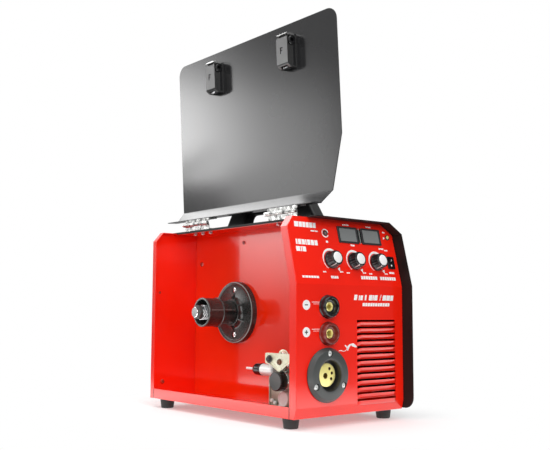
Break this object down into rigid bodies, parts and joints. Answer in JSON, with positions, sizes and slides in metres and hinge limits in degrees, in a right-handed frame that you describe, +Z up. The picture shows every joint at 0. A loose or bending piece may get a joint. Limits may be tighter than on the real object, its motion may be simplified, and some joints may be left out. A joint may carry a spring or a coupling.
{
  "type": "mig welding machine",
  "caption": "Compact suitcase-style wire-feed welding machine with a folded sheet case, its side lid standing open over the spool hub and wire feeder.",
  "frame": {"origin": "on the floor under the middle of the case", "axes": "+Z up, the control face looks towards -Y and the opened wire compartment towards -X"},
  "size_m": [0.2418, 0.455, 0.6644],
  "materials": {
    "red_paint": "gloss",
    "black_paint": "satin",
    "black_plastic": "satin",
    "black_gloss_plastic": "gloss",
    "dark_red_plastic": "satin",
    "grey_plastic": "satin",
    "white_plastic": "satin",
    "rubber": "matt",
    "zinc": "satin",
    "bright_steel": "bright",
    "spring_steel": "satin",
    "yellow_zinc": "satin",
    "brass": "bright",
    "aluminium": "satin",
    "ferrite": "matt",
    "board_green": "gloss",
    "smoked_window": "clear",
    "lamp_lens": "gloss",
    "black_steel": "satin"
  },
  "bodies": {
    "case": {"base_tray": "red_paint", "front_panel": "red_paint", "rear_panel": "red_paint", "partition_wall": "red_paint", "top_side_cover": "black_paint", "cover_screws": "black_steel", "rubber_feet": "rubber", "foot_screws": "zinc", "carry_handle": "black_plastic", "hinge_fixed_leaves": "zinc", "hinge_pins": "bright_steel", "hinge_screws": "bright_steel", "hub_flange": "black_plastic", "hub_spindle": "bright_steel", "hub_spring": "spring_steel", "flange_screws": "bright_steel", "feeder_plate": "zinc", "inlet_collar": "black_plastic", "inlet_liner": "white_plastic", "outlet_guide": "brass", "feed_motor": "black_steel", "negative_socket_shell": "black_plastic", "positive_socket_shell": "dark_red_plastic", "socket_inserts": "brass", "euro_flange": "black_plastic", "euro_body": "brass", "display_bezel": "black_gloss_plastic", "display_windows": "smoked_window", "indicator_lamps": "lamp_lens", "mode_switch_body": "black_plastic", "dial_potentiometers": "grey_plastic", "fan_frame": "black_plastic", "fan_guard": "bright_steel", "mains_switch_body": "black_plastic", "gas_inlet": "brass", "gas_valve": "black_steel", "cable_gland": "black_plastic", "control_board": "board_green", "transformer": "ferrite", "heat_sinks": "aluminium", "power_board": "board_green"},
    "lid": {"lid_panel": "black_paint", "hinge_moving_leaves": "zinc", "latch_housings": "black_plastic"},
    "front_latch": {"latch_slide_front": "bright_steel"},
    "rear_latch": {"latch_slide_rear": "bright_steel"},
    "spool_barrel": {"hub_barrel": "black_gloss_plastic"},
    "brake_nut": {"hub_adjuster_nut": "grey_plastic"},
    "drive": {"drive_shaft": "bright_steel", "drive_roll": "bright_steel", "drive_roll_cap": "black_plastic"},
    "arm": {"pressure_arm": "yellow_zinc"},
    "roller": {"pressure_roller": "bright_steel"},
    "tension": {"tension_knob": "black_plastic"},
    "dial_left": {"dial_knob_left": "black_plastic"},
    "dial_middle": {"dial_knob_middle": "black_plastic"},
    "dial_right": {"dial_knob_right": "black_plastic"},
    "mode": {"mode_rocker": "black_gloss_plastic"},
    "mains": {"mains_rocker": "black_gloss_plastic"},
    "fan": {"fan_rotor": "black_plastic"}
  },
  "joints": [
    {"name": "lid_hinge", "type": "hinge", "parent": "case", "child": "lid", "pos_m": [-0.078, 0, 0.3382], "axis": [0, -1, 0], "range_deg": [0, 176.74]},
    {"name": "front_latch_slide", "type": "slide", "parent": "lid", "child": "front_latch", "axis": [-0.0569, 0, 0.9984], "range_m": [0, 0.008]},
    {"name": "rear_latch_slide", "type": "slide", "parent": "lid", "child": "rear_latch", "axis": [-0.0569, 0, 0.9984], "range_m": [0, 0.008]},
    {"name": "spool_spin", "type": "hinge", "parent": "case", "child": "spool_barrel", "pos_m": [-0.07, 0.068, 0.1751], "axis": [1, 0, 0], "continuous": true},
    {"name": "brake_nut_turn", "type": "hinge", "parent": "case", "child": "brake_nut", "pos_m": [-0.11, 0.068, 0.1751], "axis": [1, 0, 0], "range_deg": [-180, 180]},
    {"name": "drive_spin", "type": "hinge", "parent": "case", "child": "drive", "pos_m": [-0.0571, -0.107, 0.0645], "axis": [1, 0, 0], "continuous": true},
    {"name": "arm_lift", "type": "hinge", "parent": "case", "child": "arm", "pos_m": [-0.067, -0.0815, 0.099], "axis": [-1, 0, 0], "range_deg": [0, 60]},
    {"name": "roller_spin", "type": "hinge", "parent": "arm", "child": "roller", "pos_m": [-0.0571, -0.107, 0.0953], "axis": [1, 0, 0], "continuous": true},
    {"name": "tension_turn", "type": "hinge", "parent": "arm", "child": "tension", "pos_m": [-0.0571, -0.156, 0.12], "axis": [0, 0, 1], "range_deg": [-180, 180]},
    {"name": "dial_left_turn", "type": "hinge", "parent": "case", "child": "dial_left", "pos_m": [-0.0382, -0.19693, 0.2583], "axis": [0, 0.9714, -0.2372], "range_deg": [0, 270]},
    {"name": "dial_middle_turn", "type": "hinge", "parent": "case", "child": "dial_middle", "pos_m": [0.0137, -0.19693, 0.2583], "axis": [0, 0.9714, -0.2372], "range_deg": [0, 270]},
    {"name": "dial_right_turn", "type": "hinge", "parent": "case", "child": "dial_right", "pos_m": [0.0656, -0.19693, 0.2583], "axis": [0, 0.9714, -0.2372], "range_deg": [0, 270]},
    {"name": "mode_rock", "type": "hinge", "parent": "case", "child": "mode", "pos_m": [0.1004, -0.19673, 0.2591], "axis": [-1, 0, 0], "range_deg": [0, 24]},
    {"name": "mains_rock", "type": "hinge", "parent": "case", "child": "mains", "pos_m": [0.06, 0.2065, 0.25], "axis": [1, 0, 0], "range_deg": [0, 24]},
    {"name": "fan_spin", "type": "hinge", "parent": "case", "child": "fan", "pos_m": [0.052, 0.193, 0.12], "axis": [0, 1, 0], "continuous": true}
  ],
  "couplings": [
    {"joint": "roller_spin", "follows": "drive_spin", "ratio": -1}
  ]
}
